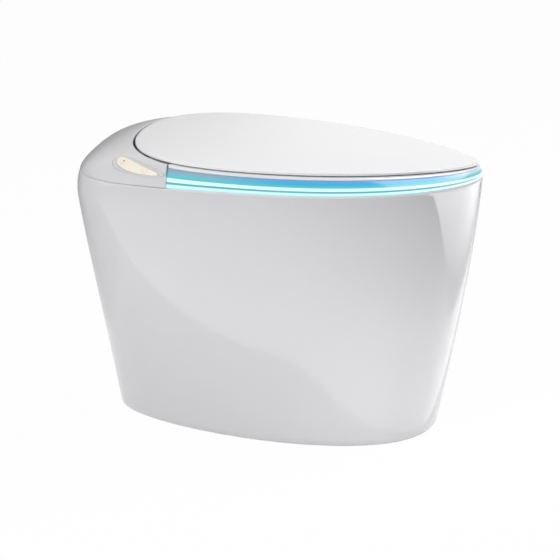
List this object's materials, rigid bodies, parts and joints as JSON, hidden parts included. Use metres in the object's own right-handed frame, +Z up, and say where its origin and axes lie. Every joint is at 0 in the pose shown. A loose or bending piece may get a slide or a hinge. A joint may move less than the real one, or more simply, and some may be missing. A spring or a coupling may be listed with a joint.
{
  "type": "smart toilet",
  "caption": "Tankless smart toilet: tapered skirted ceramic pan, egg-shaped soft-closing lid over a heated seat with a lit blue band, rear cover with side controls, bidet nozzle, dryer.",
  "frame": {"origin": "on the floor, under the middle of the object", "axes": "+X towards the nose of the lid (the front), +Y towards the user's left when seated, +Z up"},
  "size_m": [0.6702, 0.375, 0.4782],
  "materials": {
    "ceramic": "glossy glaze",
    "shell_plastic": "glossy white",
    "inner_plastic": "moulded white",
    "cream_plastic": "glossy cream",
    "dark_plastic": "moulded dark grey",
    "light_strip": "translucent, lit blue",
    "light_rail": "translucent, lit pale blue",
    "board": "laminate board",
    "copper_foil": "thin foil",
    "steel": "brushed",
    "soft_rubber": "matt",
    "pale_rubber": "matt",
    "brass": "plated",
    "acetal": "moulded bearing plastic"
  },
  "bodies": {
    "base": {"ceramic_pan": "ceramic", "ceramic_bowl": "ceramic", "trapway": "ceramic", "outlet_leg": "ceramic", "outlet_gasket": "soft_rubber", "top_unit_chassis": "inner_plastic", "chassis_bolts": "steel", "rear_cover": "shell_plastic", "cover_screws": "steel", "control_bezel": "inner_plastic", "control_panel": "cream_plastic", "key_switches": "dark_plastic", "hinge_brackets": "inner_plastic", "seat_damper": "dark_plastic", "lid_damper": "dark_plastic", "hinge_pins": "steel", "water_heater": "inner_plastic", "inlet_valve": "acetal", "diverter_valve": "acetal", "air_pump": "dark_plastic", "deodorizer_filter": "dark_plastic", "supply_hose": "pale_rubber", "heater_hose": "pale_rubber", "inlet_fitting": "brass", "inlet_filter": "steel", "power_gland": "dark_plastic", "power_supply": "steel", "control_board": "board", "dryer_housing": "inner_plastic", "dryer_motor": "steel", "dryer_duct": "inner_plastic", "dryer_grille": "inner_plastic", "nozzle_housing": "inner_plastic", "nozzle_motor": "steel", "door_pin": "steel", "flush_pump": "dark_plastic", "booster_tank": "inner_plastic", "flush_valve": "acetal", "rim_pipe": "pale_rubber", "jet_pipe": "pale_rubber"},
    "seat": {"seat_top_shell": "shell_plastic", "seat_base_shell": "inner_plastic", "seat_heater_foil": "copper_foil", "light_band": "light_strip", "light_guide": "light_rail", "led_strip": "board", "seat_bumpers": "pale_rubber", "seat_hinge_bushes": "acetal"},
    "lid": {"lid_shell": "shell_plastic", "lid_liner": "inner_plastic", "lid_bumpers": "pale_rubber", "lid_hinge_bushes": "acetal"},
    "wand": {"nozzle_wand": "shell_plastic", "nozzle_tip": "shell_plastic"},
    "gear": {"drive_gear": "acetal"},
    "door": {"nozzle_door": "shell_plastic"},
    "flush_button": {"flush_key": "cream_plastic"},
    "wash_button": {"wash_key": "cream_plastic"},
    "fan": {"dryer_impeller": "dark_plastic"}
  },
  "joints": [
    {"name": "seat_hinge", "type": "hinge", "parent": "base", "child": "seat", "pos_m": [-0.215, 0, 0.47317], "axis": [0, -1, 0], "range_deg": [0, 93]},
    {"name": "lid_hinge", "type": "hinge", "parent": "seat", "child": "lid", "pos_m": [-0.215, 0, 0.47317], "axis": [0, 1, 0], "range_deg": [-95, 0]},
    {"name": "nozzle_slide", "type": "slide", "parent": "base", "child": "wand", "axis": [0.9781, 0, -0.2079], "range_m": [0, 0.1]},
    {"name": "gear_spin", "type": "hinge", "parent": "base", "child": "gear", "pos_m": [-0.17197, 0, 0.41643], "axis": [0, -1, 0], "range_deg": [0, 717]},
    {"name": "door_hinge", "type": "hinge", "parent": "base", "child": "door", "pos_m": [-0.09121, 0, 0.40315], "axis": [0, -1, 0], "range_deg": [0, 100.5]},
    {"name": "flush_press", "type": "slide", "parent": "base", "child": "flush_button", "axis": [0.2425, 0.4208, -0.8741], "range_m": [0, 0.0012], "stiffness_N_per_m": 800, "springref_m": -0.001},
    {"name": "wash_press", "type": "slide", "parent": "base", "child": "wash_button", "axis": [0.1924, 0.843, -0.5023], "range_m": [0, 0.0012], "stiffness_N_per_m": 800, "springref_m": -0.001},
    {"name": "fan_spin", "type": "hinge", "parent": "base", "child": "fan", "pos_m": [-0.205, 0.084, 0.38], "axis": [0, 0, 1], "continuous": true}
  ],
  "couplings": [
    {"joint": "gear_spin", "follows": "nozzle_slide", "rad_per_m": 125},
    {"joint": "door_hinge", "follows": "nozzle_slide", "rad_per_m": 17.5}
  ]
}
